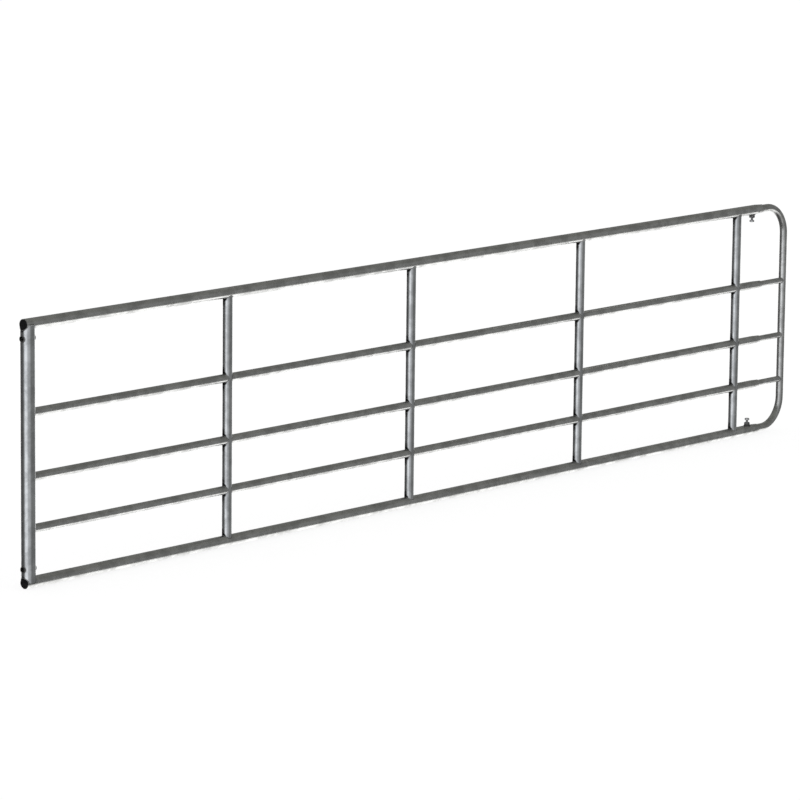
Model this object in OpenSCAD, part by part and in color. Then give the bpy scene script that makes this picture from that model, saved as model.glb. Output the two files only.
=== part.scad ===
// Extending field gate: a galvanised tubular frame with five rails, hung by two hinge sleeves,
// and a bent end frame whose arms and bars slide out of the rails and are locked by two screws.
// +X runs along the gate away from the hinges, +Y goes through its thickness, +Z is up.
// The origin is the middle of the lower hinge sleeve. Lengths are in millimetres.

/* [Frame] */
// Height between the axes of the top and bottom rails
rail_axis_span = 866; // [760:1:1100]
// Distance between the axes of neighbouring uprights
upright_pitch = 934; // [700:1:1200]
// Height of the upper rail's axis above the bottom rail's axis
upper_rail_height = 570; // [500:1:640]
// Height of the middle rail's axis above the bottom rail's axis
middle_rail_height = 354; // [300:1:420]
// Height of the lower rail's axis above the bottom rail's axis
lower_rail_height = 179; // [140:1:230]
// How far all five rails run past the axis of the end upright
rail_overhang = 150; // [120:1:240]
// How far the top and bottom rails run past the axis of the hinge stile
rail_heel = 18.5; // [12:0.5:30]

/* [Tubes] */
// Outside diameter of the top and bottom rails
frame_tube_d = 38; // [36:0.1:42.4]
// Wall of the top and bottom rails
frame_tube_wall = 3; // [2:0.1:3.5]
// Outside diameter of the uprights
upright_d = 33.7; // [33:0.1:35]
// Wall of the uprights
upright_wall = 2; // [1.5:0.1:3]
// Outside diameter of the three rails between top and bottom
mid_tube_d = 30; // [26:0.1:31]
// Wall of the three rails between top and bottom
mid_tube_wall = 2.5; // [1.5:0.1:3]
// Outside diameter of the hinge stile
stile_d = 48.3; // [42.4:0.1:60.3]
// Wall of the hinge stile
stile_wall = 3; // [2:0.1:4]

/* [Extension] */
// Reach of the end bar's axis beyond the mouths of the rails when closed
end_bar_reach = 144; // [130:1:260]
// Centre-line radius of the two bends
bend_radius = 110; // [70:1:125]
// Length of the arms and bars inside the rails when closed
arm_insertion = 1300; // [1100:5:1800]
// Wall of the bent tube
arm_wall = 2; // [1.5:0.1:3]
// Wall of the three sliding bars
bar_wall = 1.5; // [1.2:0.1:3]
// Radial play of the bent tube's arms in the top and bottom rails
arm_clearance = 1.75; // [0.4:0.05:2.5]
// Radial play of the sliding bars in the rails between
bar_clearance = 1.5; // [0.3:0.05:2.5]

/* [Rail mouths] */
// Length over which a rail's mouth is drawn down round the arm or bar in it
swage_length = 40; // [20:1:42]
// Length of the straight lip at the end of a mouth
swage_lip = 5; // [2:0.5:12]
// Wall of a mouth's lip
lip_wall = 1.8; // [1.2:0.1:2.5]
// Radial play of an arm or bar in its mouth
lip_clearance = 0.5; // [0.3:0.05:1]

/* [Hinge sleeves] */
// Outside diameter of a hinge sleeve
sleeve_d = 21.3; // [20:0.1:30]
// Wall of a hinge sleeve
sleeve_wall = 2.3; // [2:0.1:4]
// How far each end of a hinge sleeve stands out of the stile
sleeve_proud = 3; // [1:0.5:8]
// Distance from a hinge sleeve's axis to the axis of the rail beside it
sleeve_offset = 47; // [40:1:80]

/* [Lock screws] */
// Thread diameter of a lock screw
screw_d = 10; // [8:1:12]
// Distance from the rails' mouths back to the axis of the lock screws
screw_setback = 57.5; // [56:0.5:90]
// Width across the flats of a weld nut
nut_flats = 19; // [16:0.5:24]
// Height of a weld nut above the crown of the tube
nut_height = 11; // [6:0.5:14]
// Width across the flats of a screw head
head_flats = 16; // [14:0.5:24]
// Height of a screw head
head_height = 7; // [5:0.5:12]
// Length of bare thread between nut and head
thread_show = 9.5; // [4:0.5:25]
// Radial play of a screw in its nut and in the tube's wall
screw_clearance = 0.3; // [0.1:0.05:0.5]
// Gap between a screw's tip and the arm that it clamps
tip_gap = 0.3; // [0.2:0.1:0.9]

/* [End caps] */
// Thickness of a cap's flange
cap_flange = 2.5; // [2:0.5:6]
// How far the flange's edge lies inside the rail's outside
cap_inset = 1.5; // [0:0.1:2]
// Rounding of the flange's outer edge
cap_round = 1.2; // [0.5:0.1:1.9]
// Length of a cap's plug inside the rail
cap_plug = 18; // [10:1:30]
// Wall of a cap's plug
cap_wall = 2; // [1:0.1:3]
// Number of barbs round a cap's plug
cap_barbs = 4; // [2:1:6]
// Height of a barb
cap_barb = 0.9; // [0.4:0.1:1.5]
// Radial play of the barbs in the rail
cap_clearance = 0.1; // [0:0.05:0.3]

/* [Hidden] */
$fn = 64;

// Every cut runs past the face that it opens by this much
overrun = 1;
// Sides of a nut or a screw head
hex_sides = 6;
// A hex face's chamfer starts at this share of the half width across the flats
chamfer_start_share = 0.95;
// Fall of the chamfer's cone, in radius per unit of height
chamfer_slope_share = 1.73;
// A screw tip's chamfer as a share of the thread diameter
tip_chamfer_share = 0.15;
// The share of a barb's pitch that its sloping flank takes up
barb_flank_share = 0.75;

galvanised = "#868886";
zinc_plated = "#9da0a2";
weld_grey = "#6b6d6d";
black_plastic = "#1b1b1c";

frame_r = frame_tube_d / 2;
frame_bore_r = frame_r - frame_tube_wall;
arm_d = frame_tube_d - 2 * (frame_tube_wall + arm_clearance);
bar_d = mid_tube_d - 2 * (mid_tube_wall + bar_clearance);

// Heights of the rail axes and of the hinge sleeves
bottom_z = -sleeve_offset;
top_z = bottom_z + rail_axis_span;
upper_z = bottom_z + upper_rail_height;
middle_z = bottom_z + middle_rail_height;
lower_z = bottom_z + lower_rail_height;
upper_sleeve_z = top_z - sleeve_offset;
lower_sleeve_z = bottom_z + sleeve_offset;
frame_rail_heights = [bottom_z, top_z];
mid_rail_heights = [lower_z, middle_z, upper_z];
sleeve_heights = [lower_sleeve_z, upper_sleeve_z];

// Places along the gate
end_upright_place = 4;
end_upright_x = end_upright_place * upright_pitch;
mouth_x = end_upright_x + rail_overhang;
screw_x = mouth_x - screw_setback;
swage_x = mouth_x - swage_length;
lip_x = mouth_x - swage_lip;
end_bar_x = mouth_x + end_bar_reach;
bend_x = end_bar_x - bend_radius;
arm_start_x = mouth_x - arm_insertion;

// A lock screw measured outwards from the rail's axis
screw_tip = arm_d / 2 + tip_gap;
nut_face = frame_r + nut_height;
head_seat = nut_face + thread_show;

// A cap's flange and plug
flange_r = frame_r - cap_inset;
plug_r = frame_bore_r - cap_clearance - cap_barb;
barb_pitch = cap_plug / (cap_barbs + 1);

// A solid round bar along X
module bar_x(d, from_x, to_x, z)
    translate([from_x, 0, z])
        rotate([0, 90, 0])
            cylinder(d = d, h = to_x - from_x);

// A solid round bar along Z
module bar_z(d, x, from_z, to_z)
    translate([x, 0, from_z])
        cylinder(d = d, h = to_z - from_z);

// A tube along X, open at both ends
module tube_x(d, wall, from_x, to_x, z)
    difference() {
        bar_x(d, from_x, to_x, z);
        bar_x(d - 2 * wall, from_x - overrun, to_x + overrun, z);
    }

// A solid round bar along X whose far end is drawn down to the mouth's diameter and runs on by over
module swaged_bar_x(d, mouth_d, from_x, over, z) {
    bar_x(d, from_x, swage_x, z);
    translate([swage_x, 0, z])
        rotate([0, 90, 0])
            cylinder(d1 = d, d2 = mouth_d, h = lip_x - swage_x);
    bar_x(mouth_d, lip_x, mouth_x + over, z);
}

// A tube along X whose mouth is swaged round an inner tube
module swaged_tube_x(d, wall, inner_d, from_x, z) {
    lip_bore_d = inner_d + 2 * lip_clearance;
    difference() {
        swaged_bar_x(d, lip_bore_d + 2 * lip_wall, from_x, 0, z);
        swaged_bar_x(d - 2 * wall, lip_bore_d, from_x - overrun, overrun, z);
    }
}

// A tube along Z, open at both ends
module tube_z(d, wall, x, from_z, to_z)
    difference() {
        bar_z(d, x, from_z, to_z);
        bar_z(d - 2 * wall, x, from_z - overrun, to_z + overrun);
    }

// Stands its children on a rail at the lock screws' place, pointing up (side 1) or down (side -1)
module at_lock(rail_z, side)
    translate([screw_x, 0, rail_z])
        rotate([side > 0 ? 0 : 180, 0, 0])
            children();

// The top or bottom rail, with its swaged mouth and the hole that its lock screw goes through
module frame_rail(z, side)
    color(galvanised)
        difference() {
            swaged_tube_x(frame_tube_d, frame_tube_wall, arm_d, -rail_heel, z);
            at_lock(z, side)
                cylinder(d = screw_d + 2 * screw_clearance, h = frame_tube_d);
        }

// A rail between top and bottom, saddle-cut to sit against the hinge stile and swaged at its mouth
module mid_rail(z)
    color(galvanised)
        difference() {
            swaged_tube_x(mid_tube_d, mid_tube_wall, bar_d, 0, z);
            bar_z(stile_d, 0, z - mid_tube_d, z + mid_tube_d);
        }

// An upright, saddle-cut between top and bottom rail and drilled for the rails that pass through it
module upright(x)
    color(galvanised)
        difference() {
            tube_z(upright_d, upright_wall, x, bottom_z, top_z);
            for (z = frame_rail_heights)
                bar_x(frame_tube_d, x - upright_d, x + upright_d, z);
            for (z = mid_rail_heights)
                bar_x(mid_tube_d, x - upright_d, x + upright_d, z);
        }

// The hinge stile, notched half round at both ends for the rails and cross-drilled for the sleeves
module hinge_stile()
    color(galvanised)
        difference() {
            tube_z(stile_d, stile_wall, 0, bottom_z, top_z);
            for (z = frame_rail_heights)
                bar_x(frame_tube_d, -stile_d, stile_d, z);
            for (z = sleeve_heights)
                bar_x(sleeve_d, -stile_d, stile_d, z);
        }

// A hinge sleeve, welded through the stile
module hinge_sleeve(z)
    color(galvanised)
        tube_x(sleeve_d, sleeve_wall, -stile_d / 2 - sleeve_proud, stile_d / 2 + sleeve_proud, z);

// Half section of a cap's flange, with its outer edge rounded
module flange_section() {
    square([flange_r - cap_round, cap_flange]);
    square([flange_r, cap_flange - cap_round]);
    translate([flange_r - cap_round, cap_flange - cap_round])
        circle(r = cap_round);
}

// A cap's hollow plug below z = 0, with barbs that widen towards the flange
module barbed_plug()
    difference() {
        union() {
            translate([0, 0, -cap_plug])
                cylinder(r = plug_r, h = cap_plug);
            for (i = [1 : cap_barbs])
                translate([0, 0, -(i + barb_flank_share) * barb_pitch])
                    cylinder(r1 = plug_r, r2 = plug_r + cap_barb, h = barb_flank_share * barb_pitch);
        }
        translate([0, 0, -cap_plug - overrun])
            cylinder(r = plug_r - cap_wall, h = cap_plug + overrun);
    }

// A black plug in the hinge end of the top or bottom rail
module rail_cap(z)
    color(black_plastic)
        translate([-rail_heel, 0, z])
            rotate([0, -90, 0]) {
                rotate_extrude()
                    flange_section();
                barbed_plug();
            }

// A six-sided block standing on z = 0 with its upper corners chamfered
module hex_block(flats, height)
    intersection() {
        cylinder(d = flats / cos(180 / hex_sides), h = height, $fn = hex_sides);
        cylinder(
            r1 = flats / 2 * chamfer_start_share + height * chamfer_slope_share,
            r2 = flats / 2 * chamfer_start_share,
            h = height
        );
    }

// A weld nut seated on its rail
module lock_nut(rail_z, side)
    color(weld_grey)
        at_lock(rail_z, side)
            difference() {
                hex_block(nut_flats, nut_face);
                bar_x(frame_tube_d, -nut_flats, nut_flats, 0);
                cylinder(d = screw_d + 2 * screw_clearance, h = nut_face + overrun);
            }

// Half section of a lock screw's thread, from its chamfered tip to the head
module thread_section() {
    tip_chamfer = screw_d * tip_chamfer_share;
    polygon([
        [0, screw_tip],
        [screw_d / 2 - tip_chamfer, screw_tip],
        [screw_d / 2, screw_tip + tip_chamfer],
        [screw_d / 2, head_seat],
        [0, head_seat]
    ]);
}

// A hexagon lock screw whose tip bears on the arm inside the rail
module lock_screw(rail_z, side)
    color(zinc_plated)
        at_lock(rail_z, side) {
            rotate_extrude()
                thread_section();
            translate([0, 0, head_seat])
                hex_block(head_flats, head_height);
        }

// A quarter bend in the gate's plane, from start degrees above +X round to 90 degrees further
module quarter_bend(d, z, start)
    translate([bend_x, 0, z])
        rotate([90, 0, 0])
            rotate([0, 0, start])
                rotate_extrude(angle = 90)
                    translate([bend_radius, 0])
                        circle(d = d);

// The bent tube's form at one diameter, its open ends drawn out by over
module bent_form(d, over) {
    for (z = frame_rail_heights)
        bar_x(d, arm_start_x - over, bend_x, z);
    quarter_bend(d, top_z - bend_radius, 0);
    quarter_bend(d, bottom_z + bend_radius, -90);
    bar_z(d, end_bar_x, bottom_z + bend_radius, top_z - bend_radius);
}

// The extension's frame: one tube bent twice, with its arms in the top and bottom rails
module extension_frame()
    color(galvanised)
        difference() {
            bent_form(arm_d, 0);
            bent_form(arm_d - 2 * arm_wall, overrun);
        }

// A bar that slides in a rail and is saddle-cut against the extension's end bar
module extension_bar(z)
    color(galvanised)
        difference() {
            tube_x(bar_d, bar_wall, arm_start_x, end_bar_x, z);
            bar_z(arm_d, end_bar_x, z - bar_d, z + bar_d);
        }

hinge_stile();
frame_rail(top_z, -1);  // top_rail
mid_rail(upper_z);  // upper_rail
mid_rail(middle_z);  // middle_rail
mid_rail(lower_z);  // lower_rail
frame_rail(bottom_z, 1);  // bottom_rail
upright(upright_pitch);  // upright_1
upright(2 * upright_pitch);  // upright_2
upright(3 * upright_pitch);  // upright_3
upright(end_upright_x);  // end_upright
rail_cap(top_z);  // top_rail_cap
rail_cap(bottom_z);  // bottom_rail_cap
hinge_sleeve(upper_sleeve_z);  // upper_hinge_sleeve
hinge_sleeve(lower_sleeve_z);  // lower_hinge_sleeve
lock_nut(top_z, -1);  // top_lock_nut
lock_nut(bottom_z, 1);  // bottom_lock_nut
lock_screw(top_z, -1);  // top_lock_screw
lock_screw(bottom_z, 1);  // bottom_lock_screw
extension_frame();
extension_bar(upper_z);  // extension_upper_bar
extension_bar(middle_z);  // extension_middle_bar
extension_bar(lower_z);  // extension_lower_bar
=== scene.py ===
"""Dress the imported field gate: galvanised finishes, weld beads, threaded lock screws and a white studio.

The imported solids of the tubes, sleeves, nuts and caps stay as they are and get procedural finishes.
Weld beads, weld fillings and the two lock screws are surfaces worked out with numpy and placed from the
packed boxes.
"""
import logging
import math
from dataclasses import dataclass, field
from enum import Enum

import bpy
import numpy as np
from bpy.types import Material, Node, NodeSocket, NodeTree, Object, Scene
from mathutils import Matrix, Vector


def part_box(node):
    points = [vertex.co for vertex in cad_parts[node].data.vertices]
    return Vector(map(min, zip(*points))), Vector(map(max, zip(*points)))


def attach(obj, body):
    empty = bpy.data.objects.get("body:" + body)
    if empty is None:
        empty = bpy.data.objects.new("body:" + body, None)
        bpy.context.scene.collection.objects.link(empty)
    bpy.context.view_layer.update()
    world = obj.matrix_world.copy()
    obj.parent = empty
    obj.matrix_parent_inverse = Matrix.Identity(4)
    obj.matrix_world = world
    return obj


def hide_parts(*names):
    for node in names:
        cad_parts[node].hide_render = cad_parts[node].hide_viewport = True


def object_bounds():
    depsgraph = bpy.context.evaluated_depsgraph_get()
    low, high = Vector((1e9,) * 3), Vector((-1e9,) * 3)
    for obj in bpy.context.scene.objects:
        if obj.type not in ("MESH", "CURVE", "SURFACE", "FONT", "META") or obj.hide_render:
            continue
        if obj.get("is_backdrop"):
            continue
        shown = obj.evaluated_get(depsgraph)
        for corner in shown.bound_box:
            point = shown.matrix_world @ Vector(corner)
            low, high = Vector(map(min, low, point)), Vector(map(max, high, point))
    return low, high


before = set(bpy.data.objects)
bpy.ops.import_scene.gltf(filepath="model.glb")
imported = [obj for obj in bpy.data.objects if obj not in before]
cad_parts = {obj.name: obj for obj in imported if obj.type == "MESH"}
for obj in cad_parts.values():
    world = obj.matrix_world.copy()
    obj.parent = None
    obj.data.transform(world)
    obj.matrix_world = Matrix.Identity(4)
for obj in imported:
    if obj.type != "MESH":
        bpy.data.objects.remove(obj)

LOG = logging.getLogger("field_gate")
Colour = tuple[float, float, float]
Place = tuple[float, float, float]
Span = tuple[float, float]

WHITE = (1.0, 1.0, 1.0)
BOTH_WAYS = (-1.0, 1.0)
SEEDS_TO_AN_UPRIGHT = 20
FRAME_RAILS = ("top_rail", "bottom_rail")
MID_RAILS = ("upper_rail", "middle_rail", "lower_rail")
UPRIGHTS = ("upright_1", "upright_2", "upright_3", "end_upright")
SLEEVES = ("upper_hinge_sleeve", "lower_hinge_sleeve")
SLIDING_BARS = ("extension_upper_bar", "extension_middle_bar", "extension_lower_bar")


class Axis(Enum):
    """The two ways that a tube of the gate can run."""

    ALONG = 0
    UP = 2

    @property
    def vector(self) -> np.ndarray:
        """Unit vector along this axis."""
        return np.eye(3)[self.value]


class Grain(Enum):
    """How far the zinc's flow marks are drawn out in X, Y and Z: a small number is a long mark."""

    ALONG = (0.10, 1.0, 1.0)
    UP = (1.0, 1.0, 0.10)
    EVEN = (1.0, 1.0, 1.0)


class Body(Enum):
    """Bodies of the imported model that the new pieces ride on."""

    GATE_FRAME = "gate_frame"
    EXTENSION = "extension"
    TOP_SCREW = "top_screw"
    BOTTOM_SCREW = "bottom_screw"


class Seed(Enum):
    """First seed of each group of weld beads, in which every next bead takes the next number."""

    UPRIGHT = 0
    STILE = 200
    SLEEVE = 240
    BAR = 300
    NUT = 400


def turns(count: int) -> np.ndarray:
    """Spread a count of angles evenly over one full turn, from zero."""
    return np.linspace(0.0, 2 * np.pi, count, endpoint=False)


def unit(vectors: np.ndarray) -> np.ndarray:
    """Divide each vector of an array, whose last axis holds X, Y and Z, by its own length."""
    return vectors / np.linalg.norm(vectors, axis=-1, keepdims=True)


def ring_quads(rows: int, columns: int, rows_closed: bool) -> np.ndarray:
    """Number the quads of a grid of points whose columns run round in a ring.

    Point (row, column) has the number row * columns + column, and each quad joins a point, the next one
    round, and the same two on the next row.

    Args:
        rows: Count of rows of points.
        columns: Count of points in each row.
        rows_closed: Whether the last row joins the first.

    Returns:
        Array of point numbers, four to a quad.
    """
    row = np.arange(rows if rows_closed else rows - 1)[:, None]
    column = np.arange(columns)[None, :]
    after = (row + 1) % rows
    beside = (column + 1) % columns
    corners = (
        row * columns + column,
        row * columns + beside,
        after * columns + beside,
        after * columns + column,
    )
    return np.stack(corners, axis=-1).reshape(-1, 4)


@dataclass
class Shell:
    """One closed surface: its points, and its faces as lists of point numbers."""

    points: np.ndarray
    faces: list[list[int]]

    @classmethod
    def loop(cls, grid: np.ndarray) -> "Shell":
        """Close a grid of points in both ways: rows along a bead's path, columns round its section."""
        rows, columns = grid.shape[:2]
        return cls(grid.reshape(-1, 3), ring_quads(rows, columns, True).tolist())

    @classmethod
    def capped(cls, grid: np.ndarray) -> "Shell":
        """Close a grid round its columns, and each end by a fan to the middle of its last ring.

        Args:
            grid: Points as rows along the axis, columns round it, and X, Y, Z.

        Returns:
            The closed shell.
        """
        rows, columns = grid.shape[:2]
        start = rows * columns
        here = np.arange(columns)
        beside = (here + 1) % columns
        last = (rows - 1) * columns
        first_fan = np.stack([np.full(columns, start), beside, here], axis=1)
        last_fan = np.stack([np.full(columns, start + 1), last + here, last + beside], axis=1)
        middles = np.stack([grid[0].mean(axis=0), grid[-1].mean(axis=0)])
        faces = ring_quads(rows, columns, False).tolist() + first_fan.tolist() + last_fan.tolist()
        return cls(np.concatenate([grid.reshape(-1, 3), middles]), faces)


def place_piece(name: str, shells: list[Shell], finish: Material, body: Body) -> Object:
    """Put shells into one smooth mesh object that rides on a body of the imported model.

    Args:
        name: Name of the new piece.
        shells: Closed surfaces of the piece.
        finish: Material of the piece.
        body: Body that the piece moves with.

    Returns:
        The new object, at the origin, unturned and unscaled.
    """
    starts = np.cumsum([0] + [len(shell.points) for shell in shells])
    points = np.concatenate([shell.points for shell in shells])
    faces = [
        [int(start) + corner for corner in face]
        for start, shell in zip(starts, shells)
        for face in shell.faces
    ]
    mesh = bpy.data.meshes.new(name)
    mesh.from_pydata(points.tolist(), [], faces)
    mesh.polygons.foreach_set("use_smooth", np.ones(len(faces), dtype=bool))
    mesh.materials.append(finish)
    mesh.update()
    piece = bpy.data.objects.new(name, mesh)
    bpy.context.scene.collection.objects.link(piece)
    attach(piece, body.value)
    LOG.info("%s: %d points, %d faces, rides on %s", name, len(points), len(faces), body.value)
    return piece


@dataclass
class NodeBench:
    """Short calls that place and join the nodes of one tree."""

    tree: NodeTree

    def place(self, kind: str, **settings: object) -> Node:
        """Add a node and set its properties.

        Args:
            kind: Blender's type name of the node.
            settings: Properties of the node and their values.

        Returns:
            The new node.
        """
        node = self.tree.nodes.new(kind)
        for key, value in settings.items():
            setattr(node, key, value)
        return node

    def feed(self, socket: NodeSocket, value: object) -> None:
        """Link a socket to another one, or set its own value.

        Args:
            socket: Input socket to feed.
            value: Output socket, number or colour.
        """
        if isinstance(value, NodeSocket):
            self.tree.links.new(value, socket)
        elif isinstance(value, tuple) and len(value) == 3 and len(socket.default_value) == 4:
            socket.default_value = (*value, 1.0)
        else:
            socket.default_value = value

    def sum(self, operation: str, *values: object) -> NodeSocket:
        """Work out one step of arithmetic.

        Args:
            operation: Blender's name of the step, such as ADD.
            values: Numbers or sockets, in order.

        Returns:
            The result's socket.
        """
        node = self.place("ShaderNodeMath", operation=operation)
        for socket, value in zip(node.inputs, values):
            self.feed(socket, value)
        return node.outputs[0]

    def span(
        self, value: object, low: float, high: float, to_low: object = 0.0, to_high: object = 1.0
    ) -> NodeSocket:
        """Map a range smoothly on to another one.

        Args:
            value: Number to map.
            low: Where the range starts.
            high: Where the range ends.
            to_low: Result at the start.
            to_high: Result at the end.

        Returns:
            The result's socket.
        """
        node = self.place("ShaderNodeMapRange", interpolation_type="SMOOTHSTEP")
        for socket, part in zip(node.inputs, (value, low, high, to_low, to_high)):
            self.feed(socket, part)
        return node.outputs[0]

    def mix(self, share: object, first: object, second: object) -> NodeSocket:
        """Mix two colours.

        Args:
            share: How much of the second colour shows, from 0 to 1.
            first: Colour or socket.
            second: Colour or socket.

        Returns:
            The mixed colour's socket.
        """
        node = self.place("ShaderNodeMix", data_type="RGBA")
        self.feed(node.inputs[0], share)
        self.feed(node.inputs[6], first)
        self.feed(node.inputs[7], second)
        return node.outputs[2]

    def noise(self, vector: object, scale: object, detail: float, roughness: float = 0.5) -> NodeSocket:
        """Place a noise that changes smoothly in space.

        Args:
            vector: Socket with the place.
            scale: Waves to a metre.
            detail: Count of finer layers.
            roughness: Strength of the finer layers.

        Returns:
            The noise's socket, about 0 to 1.
        """
        node = self.place("ShaderNodeTexNoise")
        self.feed(node.inputs["Vector"], vector)
        self.feed(node.inputs["Scale"], scale)
        self.feed(node.inputs["Detail"], detail)
        self.feed(node.inputs["Roughness"], roughness)
        return node.outputs[0]


def start_group(name: str, inputs: dict[str, float | None], outputs: tuple[str, ...]) -> NodeBench:
    """Start a shader node group with named sockets.

    Args:
        name: Name of the group.
        inputs: Name of each input with its first value, or with None for a place or direction.
        outputs: Names of the outputs, which are all numbers.

    Returns:
        A bench on the group's tree, with its input and output nodes placed.
    """
    tree = bpy.data.node_groups.new(name, "ShaderNodeTree")
    for label, value in inputs.items():
        kind = "NodeSocketVector" if value is None else "NodeSocketFloat"
        socket = tree.interface.new_socket(label, in_out="INPUT", socket_type=kind)
        if value is not None:
            socket.default_value = value
    for label in outputs:
        tree.interface.new_socket(label, in_out="OUTPUT", socket_type="NodeSocketFloat")
    bench = NodeBench(tree)
    bench.place("NodeGroupInput", name="in")
    bench.place("NodeGroupOutput", name="out")
    return bench


@dataclass(frozen=True)
class CornerPaintedShade:
    """Painted shade: a dark wedge on a post's flank in the corners beside its rails, where shade falls at the
    joints.

    Posts that only the frame rails cross leave the rails between out.
    """

    name: str
    rails: tuple[str, ...]
    turn: float = 15.0
    close_limit: float = 0.51
    far_limit: float = 0.79
    fade: float = 0.18
    ragged: float = 0.22
    softness: float = 0.13
    flare_height: float = 0.011
    fade_heights: Span = (0.016, 0.036)
    edge_noise_scale: float = 240.0
    edge_noise_layers: float = 5.0
    edge_noise_roughness: float = 0.62
    far_away: float = 1.0

    def build(self) -> NodeTree:
        """Build the painted shade as a node group.

        The distance is the least height above or below any rail's skin.  A flank faces the painted shade by
        the part of its normal that points to the hinge end, turned some degrees to the back.  The painted
        shade covers the flank where that is above a limit, which rises in two steps with the distance, so it
        is a narrow dark wedge that flares at the rail.  A fine noise on the limit makes the edge ragged.

        Returns:
            The group's tree.
        """
        bench = start_group(self.name, {"Place": None, "Facing": None}, ("Painted Shade",))
        given = bench.tree.nodes["in"].outputs
        place = bench.place("ShaderNodeSeparateXYZ")
        bench.feed(place.inputs[0], given["Place"])
        facing = bench.place("ShaderNodeSeparateXYZ")
        bench.feed(facing.inputs[0], given["Facing"])
        nearest: object = self.far_away
        for node in self.rails:
            rail = Tube.of_node(node)
            apart = bench.sum("ABSOLUTE", bench.sum("SUBTRACT", place.outputs[2], float(rail.middle[2])))
            nearest = bench.sum("MINIMUM", nearest, bench.sum("SUBTRACT", apart, rail.radius))
        flare = bench.span(nearest, 0.0, self.flare_height, self.close_limit, self.far_limit)
        limit = bench.sum("ADD", flare, bench.span(nearest, *self.fade_heights, 0.0, self.fade))
        edge_noise = bench.noise(given["Place"], self.edge_noise_scale, self.edge_noise_layers, self.edge_noise_roughness)
        limit = bench.sum("MULTIPLY_ADD", edge_noise, self.ragged, limit)
        turn = math.radians(self.turn)
        flank = bench.sum("MULTIPLY", facing.outputs[0], -math.cos(turn))
        flank = bench.sum("MULTIPLY_ADD", facing.outputs[1], math.sin(turn), flank)
        # Painted shade: dark where the flank's facing passes the limit, widest right beside the rails.
        painted_shade = bench.span(bench.sum("SUBTRACT", flank, limit), -self.softness, self.softness)
        bench.feed(bench.tree.nodes["out"].inputs["Painted Shade"], painted_shade)
        return bench.tree


@dataclass(frozen=True)
class ZincSkin:
    """The skin that hot zinc leaves: crystals, cloudy patches and drawn-out flow marks."""

    crystals: float = 110.0
    clouds: float = 22.0
    flow: float = 70.0
    layers: float = 3.0
    layer_strength: float = 0.55
    grit: float = 620.0
    grit_layers: float = 2.0
    cloud_tone: float = 0.7
    flow_tone: float = 0.3
    crystal_tone: float = 0.06
    tone_span: Span = (0.41, 0.65)
    cloud_gloss: float = 0.8
    crystal_gloss: float = 0.2
    gloss_span: Span = (0.2, 0.8)
    flow_height: float = 0.3
    grit_height: float = 0.02

    def build(self) -> NodeTree:
        """Build the skin as a node group.

        Tone is a weighted sum of a random value for each crystal cell, a cloud noise and a flow noise whose
        place is stretched by the grain.  Height is the cloud and flow noise with a fine grit on top.

        Returns:
            The group's tree.
        """
        places = {"Place": None, "Flow Place": None}
        scales = {"Crystals": self.crystals, "Clouds": self.clouds, "Flow": self.flow}
        bench = start_group("zinc_skin", places | scales, ("Tone", "Gloss", "Height"))
        given = bench.tree.nodes["in"].outputs
        made = bench.tree.nodes["out"].inputs
        cells = bench.place("ShaderNodeTexVoronoi", feature="F1", distance="EUCLIDEAN")
        bench.feed(cells.inputs["Vector"], given["Place"])
        bench.feed(cells.inputs["Scale"], given["Crystals"])
        split = bench.place("ShaderNodeSeparateColor")
        bench.feed(split.inputs[0], cells.outputs["Color"])
        crystal = bench.span(split.outputs[0], 0.0, 1.0)
        cloud = bench.noise(given["Place"], given["Clouds"], self.layers, self.layer_strength)
        flow = bench.noise(given["Flow Place"], given["Flow"], self.layers, self.layer_strength)
        grit = bench.noise(given["Place"], self.grit, self.grit_layers)
        clouded = bench.sum("MULTIPLY", cloud, self.cloud_tone)
        shape = bench.sum("MULTIPLY_ADD", flow, self.flow_tone, clouded)
        tone = bench.sum("MULTIPLY_ADD", crystal, self.crystal_tone, shape)
        bench.feed(made["Tone"], bench.span(tone, *self.tone_span))
        sheen = bench.sum("MULTIPLY", cloud, self.cloud_gloss)
        gloss = bench.sum("MULTIPLY_ADD", split.outputs[1], self.crystal_gloss, sheen)
        bench.feed(made["Gloss"], bench.span(gloss, *self.gloss_span))
        waves = bench.sum("MULTIPLY_ADD", flow, self.flow_height, cloud)
        bench.feed(made["Height"], bench.sum("MULTIPLY_ADD", grit, self.grit_height, waves))
        return bench.tree


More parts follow.
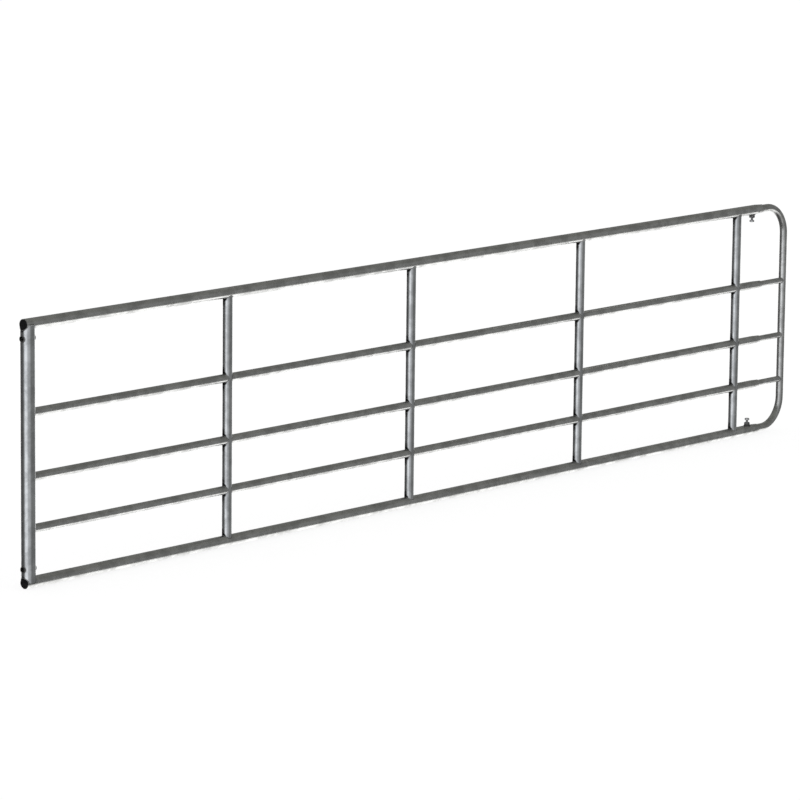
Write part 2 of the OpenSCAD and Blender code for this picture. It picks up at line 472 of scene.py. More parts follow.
@dataclass(frozen=True)
class HandlingMarks:
    """The marks of handling: thin scratches in two directions and dusty smudges."""

    scratches: float = 90.0
    scratch_turns: Span = (0.5, -0.9)
    scratch_lean: float = 0.4
    scratch_stretch: Place = (1.0, 0.06, 0.8)
    scratch_layers: float = 3.0
    scratch_middle: float = 0.5
    scratch_width: float = 0.012
    gaps: float = 40.0
    gap_layers: float = 2.0
    gap_span: Span = (0.5, 0.62)
    smudges: float = 55.0
    smudge_layers: float = 4.0
    smudge_strength: float = 0.65
    smudge_span: Span = (0.42, 0.72)

    def build(self) -> NodeTree:
        """Build the marks as a node group.

        A scratch is a narrow band about the middle value of a strongly stretched noise.

        Returns:
            The group's tree.
        """
        inputs = {"Place": None, "Scratches": self.scratches}
        bench = start_group("handling", inputs, ("Scratch", "Smudge"))
        given = bench.tree.nodes["in"].outputs
        made = bench.tree.nodes["out"].inputs
        bands = []
        for turn in self.scratch_turns:
            mapping = bench.place("ShaderNodeMapping")
            bench.feed(mapping.inputs["Vector"], given["Place"])
            mapping.inputs["Rotation"].default_value = (turn, self.scratch_lean * turn, turn)
            mapping.inputs["Scale"].default_value = self.scratch_stretch
            wave = bench.noise(mapping.outputs[0], given["Scratches"], self.scratch_layers)
            near = bench.sum("ABSOLUTE", bench.sum("SUBTRACT", wave, self.scratch_middle))
            bands.append(bench.span(near, 0.0, self.scratch_width, 1.0, 0.0))
        broken = bench.span(bench.noise(given["Place"], self.gaps, self.gap_layers), *self.gap_span)
        scratch = bench.sum("MULTIPLY", bench.sum("MAXIMUM", *bands), broken)
        bench.feed(made["Scratch"], scratch)
        cloud = bench.noise(given["Place"], self.smudges, self.smudge_layers, self.smudge_strength)
        bench.feed(made["Smudge"], bench.span(cloud, *self.smudge_span))
        return bench.tree


class SurfaceEffects:
    """Node groups that the finishes use, each built once."""

    def __init__(self) -> None:
        """Build the four groups."""
        self.zinc_skin = ZincSkin().build()
        # Painted shade in the corners of each post beside the rails that cross it; the stile's is a narrow
        # streak.
        self.upright_painted_shade = CornerPaintedShade("upright_painted_shade", FRAME_RAILS + MID_RAILS).build()
        stile = CornerPaintedShade(
            "stile_painted_shade",
            FRAME_RAILS,
            turn=0.0,
            close_limit=0.93,
            far_limit=0.975,
            fade=0.30,
            ragged=0.08,
            softness=0.03,
        )
        self.stile_painted_shade = stile.build()
        self.handling = HandlingMarks().build()


def start_material(name: str) -> tuple[NodeBench, Node, Node]:
    """Start a material that has one Principled shader and the object's own coordinates.

    Args:
        name: Name of the material.

    Returns:
        A bench on its tree, the shader node and the coordinate node.
    """
    material = bpy.data.materials.new(name)
    material.use_nodes = True
    bench = NodeBench(material.node_tree)
    shader = material.node_tree.nodes["Principled BSDF"]
    return bench, shader, bench.place("ShaderNodeTexCoord")


def add_bump(bench: NodeBench, shader: Node, height: NodeSocket, strength: float, depth: float) -> None:
    """Join a height to the shader's normal.

    Args:
        bench: Bench on the material's tree.
        shader: Principled shader.
        height: Socket with the height.
        strength: Strength of the bump, from 0 to 1.
        depth: Height in metres that the value 1 stands for.
    """
    bump = bench.place("ShaderNodeBump")
    bump.inputs["Strength"].default_value = strength
    bump.inputs["Distance"].default_value = depth
    bench.feed(bump.inputs["Height"], height)
    bench.feed(shader.inputs["Normal"], bump.outputs[0])


@dataclass(frozen=True)
class ZincFinish:
    """Hot-dip galvanised steel: dull zinc with soft crystals, clouds and flow marks."""

    name: str
    grain: Grain
    dark: Colour = (0.648, 0.65, 0.638)
    pale: Colour = (0.90, 0.902, 0.888)
    smooth: float = 0.14
    rough: float = 0.24
    crystals: float = 110.0
    bump_strength: float = 0.12
    bump_depth: float = 0.0006
    # Near-black colour, and added roughness, of the painted shade in a post's corners beside the rails.
    painted_shade_colour: Colour = (0.03, 0.03, 0.029)
    painted_shade_roughness: float = 0.3

    def material(self, effects: SurfaceEffects, painted_shade: NodeTree | None = None) -> Material:
        """Build the material.

        Args:
            effects: Shared node groups.
            painted_shade: Group that paints shade into the post's corners beside the rails, if it has one.

        Returns:
            The new material.
        """
        bench, shader, coordinates = start_material(self.name)
        place = coordinates.outputs["Object"]
        mapping = bench.place("ShaderNodeMapping")
        bench.feed(mapping.inputs["Vector"], place)
        mapping.inputs["Scale"].default_value = self.grain.value
        skin = bench.place("ShaderNodeGroup", node_tree=effects.zinc_skin)
        bench.feed(skin.inputs["Place"], place)
        bench.feed(skin.inputs["Flow Place"], mapping.outputs[0])
        skin.inputs["Crystals"].default_value = self.crystals
        colour = bench.mix(skin.outputs["Tone"], self.dark, self.pale)
        roughness = bench.span(skin.outputs["Gloss"], 0.0, 1.0, self.rough, self.smooth)
        # Painted shade: the corners beside the rails are mixed towards near black and made rougher.
        if painted_shade is not None:
            corner = bench.place("ShaderNodeGroup", node_tree=painted_shade)
            bench.feed(corner.inputs["Place"], place)
            bench.feed(corner.inputs["Facing"], coordinates.outputs["Normal"])
            colour = bench.mix(corner.outputs["Painted Shade"], colour, self.painted_shade_colour)
            roughness = bench.sum("MULTIPLY_ADD", corner.outputs["Painted Shade"], self.painted_shade_roughness, roughness)
        bench.feed(shader.inputs["Base Color"], colour)
        bench.feed(shader.inputs["Roughness"], roughness)
        shader.inputs["Metallic"].default_value = 1.0
        add_bump(bench, shader, skin.outputs["Height"], self.bump_strength, self.bump_depth)
        return bpy.data.materials[self.name]


@dataclass(frozen=True)
class HandledFinish:
    """A surface marked by handling: smudges on its colour, and scratches on its plating or moulding grain."""

    name: str
    base: Colour
    smudged: Colour
    roughness: Span
    bump_strength: float
    bump_depth: float
    scratches: float
    scratch_height: float = -0.5
    metallic: float = 0.0
    specular: float = 0.5
    grain_scale: float = 0.0
    grain_layers: float = 2.0

    def material(self, effects: SurfaceEffects) -> Material:
        """Build the material.

        Args:
            effects: Shared node groups.

        Returns:
            The new material.
        """
        bench, shader, coordinates = start_material(self.name)
        place = coordinates.outputs["Object"]
        marks = bench.place("ShaderNodeGroup", node_tree=effects.handling)
        bench.feed(marks.inputs["Place"], place)
        marks.inputs["Scratches"].default_value = self.scratches
        smudge = marks.outputs["Smudge"]
        bench.feed(shader.inputs["Base Color"], bench.mix(smudge, self.base, self.smudged))
        bench.feed(shader.inputs["Roughness"], bench.span(smudge, 0.0, 1.0, *self.roughness))
        shader.inputs["Metallic"].default_value = self.metallic
        shader.inputs["Specular IOR Level"].default_value = self.specular
        height = marks.outputs["Scratch"]
        if self.grain_scale > 0.0:
            grain = bench.noise(place, self.grain_scale, self.grain_layers)
            height = bench.sum("MULTIPLY_ADD", height, self.scratch_height, grain)
        add_bump(bench, shader, height, self.bump_strength, self.bump_depth)
        return bpy.data.materials[self.name]


class Finishes:
    """Every finish of the gate, built once."""

    def __init__(self) -> None:
        """Build the shared groups, then each material."""
        effects = SurfaceEffects()
        self.along = ZincFinish("galvanised_along", Grain.ALONG, smooth=0.22, rough=0.36).material(effects)
        cool = {"dark": (0.638, 0.65, 0.657), "pale": (0.886, 0.902, 0.912)}
        # The uprights and the stile get painted shade in their corners beside the rails.
        upright = ZincFinish("galvanised_upright", Grain.UP, **cool)
        self.upright = upright.material(effects, effects.upright_painted_shade)
        stile = ZincFinish("galvanised_stile", Grain.UP, **cool)
        self.stile = stile.material(effects, effects.stile_painted_shade)
        self.bent = ZincFinish("galvanised_bent", Grain.EVEN, smooth=0.18, rough=0.30).material(effects)
        sleeve = ZincFinish(
            "galvanised_sleeve", Grain.EVEN, (0.22, 0.22, 0.215), (0.38, 0.38, 0.372), 0.42, 0.58, 240.0
        )
        self.sleeve = sleeve.material(effects)
        weld = ZincFinish(
            "galvanised_weld", Grain.EVEN, (0.32, 0.32, 0.315), (0.50, 0.50, 0.495), 0.30, 0.45, 260.0
        )
        self.weld = weld.material(effects)
        nut = ZincFinish(
            "galvanised_nut", Grain.EVEN, (0.20, 0.20, 0.197), (0.40, 0.40, 0.395), 0.38, 0.54, 240.0
        )
        self.nut = nut.material(effects)
        screw = HandledFinish(
            "plated_screw",
            base=(0.79, 0.797, 0.803),
            smudged=(0.55, 0.55, 0.54),
            roughness=(0.45, 0.6),
            bump_strength=0.3,
            bump_depth=0.0001,
            scratches=420.0,
            metallic=1.0,
        )
        self.screw = screw.material(effects)
        plug = HandledFinish(
            "black_plug",
            base=(0.008, 0.008, 0.009),
            smudged=(0.022, 0.0215, 0.021),
            roughness=(0.5, 0.68),
            bump_strength=0.35,
            bump_depth=0.0002,
            scratches=160.0,
            specular=0.3,
            grain_scale=900.0,
        )
        self.plug = plug.material(effects)

    def dress(self, node: str, finish: Material, mirrored: bool = True) -> None:
        """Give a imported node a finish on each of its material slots.

        Args:
            node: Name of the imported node.
            finish: Material to show.
            mirrored: Whether the node shows in the other pieces' gloss.
        """
        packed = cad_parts[node]
        packed.visible_glossy = mirrored
        for slot in packed.material_slots:
            slot.material = finish
        LOG.info("%s: finish %s", node, finish.name)


@dataclass(frozen=True)
class Tube:
    """A tube, or another straight piece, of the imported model: its middle, radius and upper corner."""

    middle: np.ndarray
    radius: float
    high: np.ndarray

    @classmethod
    def of_node(cls, node: str) -> "Tube":
        """Read a tube from its node's box, whose thickness in Y is the tube's diameter."""
        low, high = (np.array(corner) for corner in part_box(node))
        return cls((low + high) / 2, float(high[1] - low[1]) / 2, high)


@dataclass(frozen=True)
class TubeJoint:
    """The closed line on which a branch tube meets the skin of a main tube, their axes crossing square."""

    centre: np.ndarray
    branch_axis: np.ndarray
    main_axis: np.ndarray
    branch_radius: float
    main_radius: float

    @classmethod
    def saddle(cls, post: Tube, rail: Tube) -> "TubeJoint":
        """Describe where a post stands on, or hangs from, a frame rail.

        Args:
            post: Upright, stile or nut.
            rail: Top or bottom rail.

        Returns:
            The joint.
        """
        centre = np.array([post.middle[0], rail.middle[1], rail.middle[2]])
        way = np.sign(post.middle[2] - rail.middle[2]) * Axis.UP.vector
        return cls(centre, way, Axis.ALONG.vector, post.radius, rail.radius)

    @classmethod
    def crossing(cls, rail: Tube, post: Tube, way: float) -> "TubeJoint":
        """Describe where a rail, sleeve or bar goes into a post: 1 for its side at greater X, else -1."""
        centre = np.array([post.middle[0], rail.middle[1], rail.middle[2]])
        return cls(centre, way * Axis.ALONG.vector, Axis.UP.vector, rail.radius, post.radius)

    def line(self, steps: int) -> tuple[np.ndarray, np.ndarray, np.ndarray]:
        """Work out the line and the outward normals of both tubes along it.

        Round the branch by the angle t, the line lies at branch radius * cos t along the main tube and at
        branch radius * sin t across it.  Its height above the main axis is the root of main radius squared
        less the square of the part across, or zero where a wider branch stands past the main tube's flanks.

        Args:
            steps: Count of points.

        Returns:
            The points, the branch's normals and the main tube's normals.
        """
        turn = turns(steps)[:, None]
        across_axis = np.cross(self.branch_axis, self.main_axis)
        across = self.branch_radius * np.sin(turn)
        touching = np.clip(across, -self.main_radius, self.main_radius)
        height = np.sqrt(np.maximum(self.main_radius**2 - touching**2, 0.0))
        along = self.branch_radius * np.cos(turn)
        points = self.centre + along * self.main_axis + across * across_axis + height * self.branch_axis
        branch_normal = np.cos(turn) * self.main_axis + np.sin(turn) * across_axis
        main_normal = unit(touching * across_axis + height * self.branch_axis)
        return points, branch_normal, main_normal


@dataclass(frozen=True)
class WeldBead:
    """A fillet bead laid round a joint: a flattened round section with ripples, wander and a closing lump."""

    half_width: float = 0.0018
    half_height: float = 0.0012
    ripple_pitch: float = 0.0028
    ripple_depth: float = 0.13
    ripple_middle: float = 0.75
    sweep: float = 0.9
    wander: float = 0.10
    wander_span: float = 1.8
    lump: float = 0.2
    lump_length: float = 0.006
    steps: int = 300
    sides: int = 12

    def shell(self, line: tuple[np.ndarray, np.ndarray, np.ndarray], seed: int) -> Shell:
        """Carry the bead's section along a closed line.

        The section is an ellipse, its height along the bisector of the two skins and its width across the
        line.  The height is scaled by 1 + ripple + wander + lump and the width changes half as much.  The
        ripple is the root of a rectified sine along the line, swept back at the bead's sides; the wander is
        three slow sines; the lump is a bell where the bead closes.

        Args:
            line: Points of the joint's line and the two skins' normals.
            seed: Seed of the bead's own phases.

        Returns:
            The closed bead.
        """
        points, first, second = line
        ahead = unit(np.roll(points, -1, axis=0) - np.roll(points, 1, axis=0))
        outward = first + second
        outward = unit(outward - np.sum(outward * ahead, axis=1, keepdims=True) * ahead)
        sideways = np.cross(ahead, outward)
        length = np.linalg.norm(np.roll(points, -1, axis=0) - points, axis=1)
        travel = (np.cumsum(length) - length)[:, None]
        ripples = max(1, round(float(length.sum()) / self.ripple_pitch))
        share = travel / length.sum()
        draws = np.random.default_rng(seed).uniform(0.0, 2 * np.pi, 4)
        turn = turns(self.sides)[None, :]
        phase = np.pi * ripples * share - self.sweep * np.sin(turn) ** 2
        ripple = np.sqrt(np.abs(np.sin(phase))) - self.ripple_middle
        slow = sum(np.sin(2 * np.pi * n * share + draws[n]) / n for n in (1, 2, 3))
        apart = np.abs((share - draws[0] / (2 * np.pi) + 0.5) % 1.0 - 0.5)
        bell = np.exp(-((apart * length.sum() / self.lump_length) ** 2))
        waves = self.ripple_depth * ripple + self.wander * slow / self.wander_span
        size = 1.0 + waves + self.lump * bell
        rise = self.half_height * np.cos(turn) * size
        spread = self.half_width * np.sin(turn) * (1.0 + size) / 2
        grid = points[:, None] + rise[..., None] * outward[:, None] + spread[..., None] * sideways[:, None]
        return Shell.loop(grid)

    def lay(self, joints: list[TubeJoint], seed: int) -> list[Shell]:
        """Lay a bead round each joint, the first with the given seed and each other with the next one."""
        return [self.shell(joint.line(self.steps), seed + count) for count, joint in enumerate(joints)]


@dataclass
class WeldedFrame:
    """The gate's fixed tubes: five rails, the hinge stile, four uprights, and the welds between them."""

    finishes: Finishes
    bead: WeldBead = WeldBead()
    small_bead: WeldBead = WeldBead(half_width=0.0020, half_height=0.0015, ripple_pitch=0.0024)
    fill_bulge: float = 0.0024
    fill_reach: float = 0.995
    fill_rows: int = 41
    fill_sides: int = 16
    fill_ripple: float = 0.10
    fill_ripple_length: float = 0.0005
    flank_bite: float = 0.0008
    wall_bite: float = 0.0012
    stile: Tube = field(init=False)
    rails: dict[str, Tube] = field(init=False)
    uprights: dict[str, Tube] = field(init=False)

    def __post_init__(self) -> None:
        """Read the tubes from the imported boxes."""
        self.stile = Tube.of_node("hinge_stile")
        self.rails = {node: Tube.of_node(node) for node in FRAME_RAILS + MID_RAILS}
        self.uprights = {node: Tube.of_node(node) for node in UPRIGHTS}

    def dress(self) -> None:
        """Give every fixed tube its galvanised finish, with the flow marks along the tube.

        Only the bottom rail shows in the gloss: each other one would draw a thin bright line on the rail
        below it.
        """
        for node in FRAME_RAILS + MID_RAILS:
            self.finishes.dress(node, self.finishes.along, mirrored=node == "bottom_rail")
        for node in SLEEVES:
            self.finishes.dress(node, self.finishes.sleeve)
        for node in UPRIGHTS:
            self.finishes.dress(node, self.finishes.upright)
        self.finishes.dress("hinge_stile", self.finishes.stile)

    def weld_uprights(self) -> None:
        """Lay the beads of each upright: two saddles, and two rings for each rail that passes through."""
        for number, (node, post) in enumerate(self.uprights.items()):
            joints = [TubeJoint.saddle(post, self.rails[rail]) for rail in FRAME_RAILS]
            joints += [
                TubeJoint.crossing(self.rails[rail], post, way) for rail in MID_RAILS for way in BOTH_WAYS
            ]
            shells = self.bead.lay(joints, Seed.UPRIGHT.value + SEEDS_TO_AN_UPRIGHT * number)
            place_piece(f"{node}_welds", shells, self.finishes.weld, Body.GATE_FRAME)

    def weld_stile(self) -> None:
        """Lay the stile's beads: two saddles with their fillings, three rail ends and four sleeve ends."""
        joints = [TubeJoint.saddle(self.stile, self.rails[rail]) for rail in FRAME_RAILS]
        joints += [TubeJoint.crossing(self.rails[rail], self.stile, 1.0) for rail in MID_RAILS]
        shells = self.bead.lay(joints, Seed.STILE.value)
        sleeves = [Tube.of_node(node) for node in SLEEVES]
        joints = [TubeJoint.crossing(sleeve, self.stile, way) for sleeve in sleeves for way in BOTH_WAYS]
        shells += self.small_bead.lay(joints, Seed.SLEEVE.value)
        shells += [self.fill(self.rails[rail], side) for rail in FRAME_RAILS for side in BOTH_WAYS]
        place_piece("hinge_stile_welds", shells, self.finishes.weld, Body.GATE_FRAME)

    def fill(self, rail: Tube, side: float) -> Shell:
        """Fill the slot between a frame rail's flank and the wider stile's wall with weld metal.

        Along the gate by the share u the slot runs from the rail's flank to the stile's middle wall, an arc
        of a circle.  Round the section by the angle t the filling lies at (1 - cos t) / 2 of the slot and
        rises by bulge * sin t, so both ends close to a point.

        Args:
            rail: Top or bottom rail.
            side: 1 for the slot at greater Y, -1 for the other.

        Returns:
            The closed filling.
        """
        flank = rail.radius - self.flank_bite
        wall = self.stile.radius - self.wall_bite
        reach = self.fill_reach * math.sqrt(wall**2 - flank**2)
        share = np.sin(np.linspace(-np.pi / 2, np.pi / 2, self.fill_rows))[1:-1, None]
        turn = turns(self.fill_sides)[None, :]
        along = reach * share + 0 * turn
        arc = np.sqrt(wall**2 - along**2)
        across = flank + (arc - flank) * (1 - np.cos(turn)) / 2
        ripple = 1 + self.fill_ripple * np.sin(along / self.fill_ripple_length)
        rise = self.fill_bulge * np.sin(turn) * np.sqrt(1 - share**2) * ripple
        grid = np.stack([along + self.stile.middle[0], side * across, rise + rail.middle[2]], axis=-1)
        return Shell.capped(grid[:, ::-1] if side > 0 else grid)


@dataclass
class SlidingEnd:
    """The end frame that slides in the rails: a tube bent twice, with three bars welded to its end."""

    finishes: Finishes
    bead: WeldBead = WeldBead(half_width=0.0021, half_height=0.0015, ripple_pitch=0.0026)
    bars: dict[str, Tube] = field(init=False)
    end_bar: Tube = field(init=False)

    def __post_init__(self) -> None:
        """Read the bars, and the upright end bar at the far side of the bent tube's box."""
        self.bars = {node: Tube.of_node(node) for node in SLIDING_BARS}
        bent = Tube.of_node("extension_frame")
        middle = bent.middle.copy()
        middle[0] = bent.high[0] - bent.radius
        self.end_bar = Tube(middle, bent.radius, bent.high)

    def dress(self) -> None:
        """Give the bent tube and the sliding bars their galvanised finish, the bars as the rails have it."""
        self.finishes.dress("extension_frame", self.finishes.bent)
        for node in SLIDING_BARS:
            self.finishes.dress(node, self.finishes.along, mirrored=False)

    def weld_bars(self) -> None:
        """Lay a bead round each bar where it meets the end bar."""
        joints = [TubeJoint.crossing(bar, self.end_bar, -1.0) for bar in self.bars.values()]
        shells = self.bead.lay(joints, Seed.BAR.value)
        place_piece("extension_welds", shells, self.finishes.weld, Body.EXTENSION)


@dataclass
class LockScrew:
    """A hexagon screw in a welded nut, whose tip grips the sliding arm inside the rail."""

    node: str
    nut: str
    rail: str
    body: Body
    finishes: Finishes
    thread_pitch: float = 0.0015
    thread_depth: float = 0.0009
    thread_slope: float = 1.25
    thread_crest: float = 0.12
    head_height: float = 0.007
    head_sides: int = 96
    shank_diameter: float = 0.010
    shank_rows: int = 180
    shank_sides: int = 40
    seat_overlap: float = 0.0008
    tip_chamfer: float = 0.0015
    bead: WeldBead = WeldBead(half_width=0.0036, half_height=0.0026, ripple_pitch=0.0026, lump=0.0)

    def profile(self, radius: np.ndarray, height: np.ndarray, turn: np.ndarray) -> np.ndarray:
        """Turn radii and heights into points about the screw's axis, pointing out of the rail.

        Args:
            radius: Distance from the axis, as rows of height by columns of turn.
            height: Distance from the rail's axis, as the same grid.
            turn: Angle round the axis, as the same grid.

        Returns:
            The grid of points.
        """
        screw = Tube.of_node(self.node)
        rail = Tube.of_node(self.rail)
        way = float(np.sign(screw.middle[2] - rail.middle[2]))
        along = screw.middle[0] + radius * np.cos(turn)
        across = screw.middle[1] + way * radius * np.sin(turn)
        return np.stack([along, across, rail.middle[2] + way * height], axis=-1)

    def reach(self) -> tuple[float, float]:
        """Measure the screw from the rail's axis.

        Returns:
            Distance to the tip and to the head's end.
        """
        low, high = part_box(self.node)
        axis = Tube.of_node(self.rail).middle[2]
        ends = sorted((abs(low[2] - axis), abs(high[2] - axis)))
        return float(ends[0]), float(ends[1])

    def shank(self) -> Shell:
        """Carry the thread's profile round and up the shank.

        At height h and angle t the thread's share is h / pitch - t / full turn, less its whole part.  The
        radius is the crest's, less depth times a flat-topped triangle wave of that share, and is held inside
        the cone of the tip's chamfer.

        Returns:
            The closed shank.
        """
        tip, end = self.reach()
        seat = end - self.head_height
        height = np.linspace(tip, seat + self.seat_overlap, self.shank_rows)[:, None]
        turn = turns(self.shank_sides)[None, :]
        share = (height / self.thread_pitch - turn / (2 * np.pi)) % 1.0
        groove = np.clip(self.thread_slope * np.abs(2 * share - 1) - self.thread_crest, 0.0, 1.0)
        crest = self.shank_diameter / 2
        cone = crest - self.tip_chamfer + (height - tip)
        radius = np.minimum(crest - self.thread_depth * groove, cone)
        return Shell.capped(self.profile(radius, height + 0 * turn, turn + 0 * height))

    def head(self) -> Shell:
        """Carry the head's profile round a hexagon.

        Round the axis by the angle t the hexagon's radius is half the flats over the cosine of t folded into
        one sixth turn.  At each height it is held inside a washer face below and a 30 degree cone above.

        Returns:
            The closed head.
        """
        half_flats = Tube.of_node(self.node).radius
        seat = self.reach()[1] - self.head_height
        rise = np.array([0.0, 0.0, 0.03, 0.06, 0.10, 0.4, 0.7, 0.78, 0.84, 0.90, 0.95, 0.985, 1.0, 1.0])
        hold = np.array([0.80, 0.94, 0.98, 1.06, 1.30, 1.30, 1.30, 1.17, 1.12, 1.06, 1.01, 0.975, 0.95, 0.60])
        turn = turns(self.head_sides)[None, :]
        folded = (turn % (np.pi / 3)) - np.pi / 6
        hexagon = half_flats / np.cos(folded)
        radius = np.minimum(hexagon, half_flats * hold[:, None])
        height = seat + self.head_height * rise[:, None]
        return Shell.capped(self.profile(radius, height + 0 * turn, turn + 0 * height))

    def build(self) -> None:
        """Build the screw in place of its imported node, and lay the nut's bead on the rail."""
        shells = [self.shank(), self.head()]
        screw = place_piece(f"{self.node}_threaded", shells, self.finishes.screw, self.body)
        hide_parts(self.node)
        self.finishes.dress(self.nut, self.finishes.nut)
        low, high = (np.array(corner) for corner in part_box(self.nut))
        foot = Tube((low + high) / 2, float(high[0] - low[0]) / 2, high)
        shells = self.bead.lay([TubeJoint.saddle(foot, Tube.of_node(self.rail))], Seed.NUT.value)
        place_piece(f"{self.nut}_weld", shells, self.finishes.nut, Body.GATE_FRAME)


@dataclass
class TubePlugs:
    """Black plastic plugs in the hinge ends of the top and bottom rails."""

    finishes: Finishes
    nodes: tuple[str, ...] = ("top_rail_cap", "bottom_rail_cap")

    def dress(self) -> None:
        """Give both plugs the moulded finish."""
        for node in self.nodes:
            self.finishes.dress(node, self.finishes.plug)


@dataclass
class Studio:
    """White studio: a pale floor, a soft surrounding light and the photograph's camera."""

    camera_place: Place = (-10.279, -10.993, 3.352)
    camera_heading: float = 47.73
    camera_pitch: float = 10.47
    camera_roll: float = 0.62
    camera_lens: float = 209.32
    camera_sensor: float = 36.0
    camera_sight: float = 300.0
    floor_reach: float = 70.0
    floor_drop: float = 0.0005
    floor_colour: Colour = (0.22, 0.22, 0.22)
    floor_lift: float = 0.84
    fill_level: Colour = (0.80, 0.80, 0.80)
    sky_level: Colour = (0.138, 0.140, 0.131)
    front_level: Colour = (0.169, 0.172, 0.171)
    back_level: Colour = (0.083, 0.083, 0.083)
    glow_level: Colour = (0.442, 0.450, 0.462)
    window_level: Colour = (0.817, 0.833, 0.858)
    ground_level: Colour = (1.25, 1.25, 1.25)
    shade_level: Colour = (0.333, 0.333, 0.333)
    backdrop_heading: float = 42.3
    backdrop_spread: Span = (30.0, 20.0)
    backdrop_top: Span = (-0.02, -0.12)
    backdrop_foot: Span = (-0.62, -0.48)
    back_heading: float = 108.0
    back_spread: Span = (48.0, 36.0)
    glow_heading: float = 221.0
    glow_spread: Span = (66.0, 5.0)
    window_heading: float = 198.0
    window_spread: Span = (34.0, 4.0)
    wall_edge: Span = (0.28, 0.55)
    shade_edge: Span = (-0.60, -0.25)
    ground_start: Span = (0.25, 0.52)
    ground_edge: Span = (-0.48, -0.60)
    least_flat: float = 0.001

    def build(self) -> None:
        """Build the camera, the floor and the world."""
        scene = bpy.context.scene
        scene.view_settings.view_transform = "Standard"
        self.build_camera(scene)
        self.build_floor(scene)
        self.build_world(scene)

    def build_camera(self, scene: Scene) -> None:
        """Set the camera where the photograph was taken.

        Args:
            scene: Scene that gets the camera.
        """
        heading = math.radians(self.camera_heading)
        pitch = math.radians(self.camera_pitch)
        roll = math.radians(self.camera_roll)
        forward = np.array(
            [math.sin(heading) * math.cos(pitch), math.cos(heading) * math.cos(pitch), -math.sin(pitch)]
        )
        level = np.array([math.cos(heading), -math.sin(heading), 0.0])
        up = np.cross(level, forward)
        right = level * math.cos(roll) + up * math.sin(roll)
        above = np.cross(right, forward)
        turned = np.eye(4)
        turned[:3, :3] = np.stack([right, above, -forward], axis=1)
        turned[:3, 3] = self.camera_place
        data = bpy.data.cameras.new("photo_camera")
        data.lens = self.camera_lens
        data.sensor_width = self.camera_sensor
        data.clip_end = self.camera_sight
        camera = bpy.data.objects.new("photo_camera", data)
        camera.matrix_world = Matrix(turned.tolist())
        scene.collection.objects.link(camera)
        scene.camera = camera
        LOG.info("photo_camera: lens %.1f mm", data.lens)

    def build_floor(self, scene: Scene) -> None:
        """Lay a wide pale floor under the gate, white to the camera and open to reflections.

        Args:
            scene: Scene that gets the floor.
        """
        low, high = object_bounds()
        middle = (np.array(low) + np.array(high)) / 2
        corners = self.floor_reach * np.array([[-1, -1, 0], [1, -1, 0], [1, 1, 0], [-1, 1, 0]], dtype=float)
        corners += np.array([middle[0], middle[1], low[2] - self.floor_drop])
        mesh = bpy.data.meshes.new("studio_floor")
        mesh.from_pydata(corners.tolist(), [], [[0, 1, 2, 3]])
        floor = bpy.data.objects.new("studio_floor", mesh)
        scene.collection.objects.link(floor)
        floor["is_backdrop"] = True
        material = bpy.data.materials.new("studio_floor")
        material.use_nodes = True
        bench = NodeBench(material.node_tree)
        bench.tree.nodes.remove(bench.tree.nodes["Principled BSDF"])
        path = bench.place("ShaderNodeLightPath").outputs
        diffuse = bench.place("ShaderNodeBsdfDiffuse")
        bench.feed(diffuse.inputs["Color"], self.floor_colour)
        glow = bench.place("ShaderNodeEmission")
        bench.feed(glow.inputs["Strength"], bench.sum("MULTIPLY", path["Is Camera Ray"], self.floor_lift))
        both = bench.place("ShaderNodeAddShader")
        bench.feed(both.inputs[0], diffuse.outputs[0])
        bench.feed(both.inputs[1], glow.outputs[0])
        opening = bench.place("ShaderNodeMixShader")
        seen_in = bench.sum("MAXIMUM", path["Is Glossy Ray"], path["Is Transmission Ray"])
        bench.feed(opening.inputs[0], seen_in)
        bench.feed(opening.inputs[1], both.outputs[0])
        bench.feed(opening.inputs[2], bench.place("ShaderNodeBsdfTransparent").outputs[0])
        bench.feed(bench.tree.nodes["Material Output"].inputs["Surface"], opening.outputs[0])
        mesh.materials.append(material)
        LOG.info("studio_floor: at %.4f m", corners[0, 2])

    def build_world(self, scene: Scene) -> None:
        """Surround the gate with an even light that shows the metal a plain studio.

        The camera sees white and dull surfaces get an even fill.  Reflections see the same white on the
        ground and behind the gate, with the gate's own shade right below it, a grey ceiling, a bright window
        with a softer glow beside it at the hinge end, a dark wall beside the backdrop and a grey wall in
        front.

        Args:
            scene: Scene that gets the world.
        """
        world = bpy.data.worlds.new("studio")
        scene.world = world
        world.use_nodes = True
        bench = NodeBench(world.node_tree)
        direction = bench.place("ShaderNodeTexCoord").outputs["Generated"]
        split = bench.place("ShaderNodeSeparateXYZ")
        bench.feed(split.inputs[0], direction)
        across, deep, up = split.outputs
        flat = bench.sum("SQRT", bench.sum("SUBTRACT", 1.0, bench.sum("MULTIPLY", up, up)))
        flat = bench.sum("MAXIMUM", flat, self.least_flat)

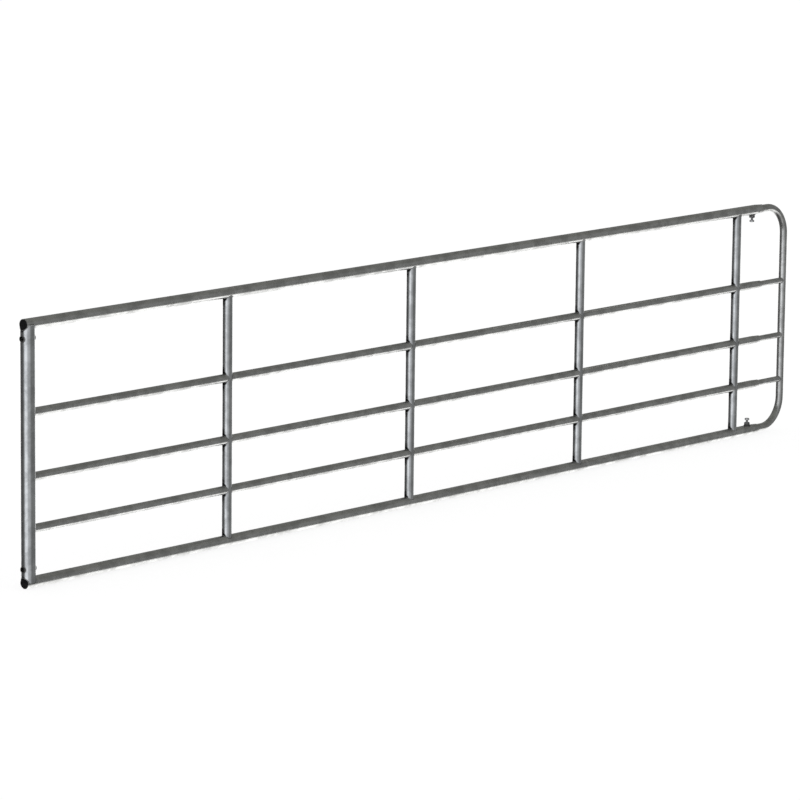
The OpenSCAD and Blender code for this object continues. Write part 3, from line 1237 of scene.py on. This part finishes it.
        def facing(heading: float, outer: float, inner: float) -> NodeSocket:
            """Mark the directions round a heading.

            Args:
                heading: Angle from X towards Y, in degrees.
                outer: Angle to each side at which the mark ends.
                inner: Angle to each side up to which the mark is full.

            Returns:
                Socket with 1 inside the inner angle and 0 outside the outer one.
            """
            turn = math.radians(heading)
            dot = bench.sum(
                "MULTIPLY_ADD", across, math.cos(turn), bench.sum("MULTIPLY", deep, math.sin(turn))
            )
            level = bench.sum("DIVIDE", dot, flat)
            return bench.span(level, math.cos(math.radians(outer)), math.cos(math.radians(inner)))

        glow = facing(self.glow_heading, *self.glow_spread)
        wall = bench.mix(glow, self.front_level, self.glow_level)
        wall = bench.mix(facing(self.back_heading, *self.back_spread), wall, self.back_level)
        wall = bench.mix(facing(self.window_heading, *self.window_spread), wall, self.window_level)
        near_level = bench.span(bench.sum("ABSOLUTE", up), *self.wall_edge, 1.0, 0.0)
        room = bench.mix(near_level, self.sky_level, wall)
        shade = bench.mix(bench.span(deep, *self.shade_edge), self.shade_level, self.back_level)
        ground = bench.mix(bench.span(across, *self.ground_start), shade, self.ground_level)
        room = bench.mix(bench.span(up, *self.ground_edge), room, ground)
        backdrop = bench.sum(
            "MULTIPLY", bench.span(up, *self.backdrop_top), bench.span(up, *self.backdrop_foot)
        )
        wide = facing(self.backdrop_heading, *self.backdrop_spread)
        backdrop = bench.sum("MULTIPLY", wide, backdrop)
        room = bench.mix(backdrop, room, self.ground_level)
        path = bench.place("ShaderNodeLightPath").outputs
        mirrored = bench.sum("MAXIMUM", path["Is Glossy Ray"], path["Is Transmission Ray"])
        shown = bench.mix(mirrored, self.fill_level, room)
        shown = bench.mix(path["Is Camera Ray"], shown, WHITE)
        bench.feed(world.node_tree.nodes["Background"].inputs["Color"], shown)
        LOG.info("studio: world ready")


def main() -> None:
    """Build the gate's dressing in order, then the studio."""
    logging.basicConfig(level=logging.INFO, format="%(name)s %(message)s")
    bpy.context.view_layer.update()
    finishes = Finishes()
    welded = WeldedFrame(finishes)
    welded.dress()
    welded.weld_uprights()
    welded.weld_stile()
    sliding = SlidingEnd(finishes)
    sliding.dress()
    sliding.weld_bars()
    LockScrew("top_lock_screw", "top_lock_nut", "top_rail", Body.TOP_SCREW, finishes).build()
    LockScrew("bottom_lock_screw", "bottom_lock_nut", "bottom_rail", Body.BOTTOM_SCREW, finishes).build()
    TubePlugs(finishes).dress()
    Studio().build()


if __name__ == "__main__":
    main()
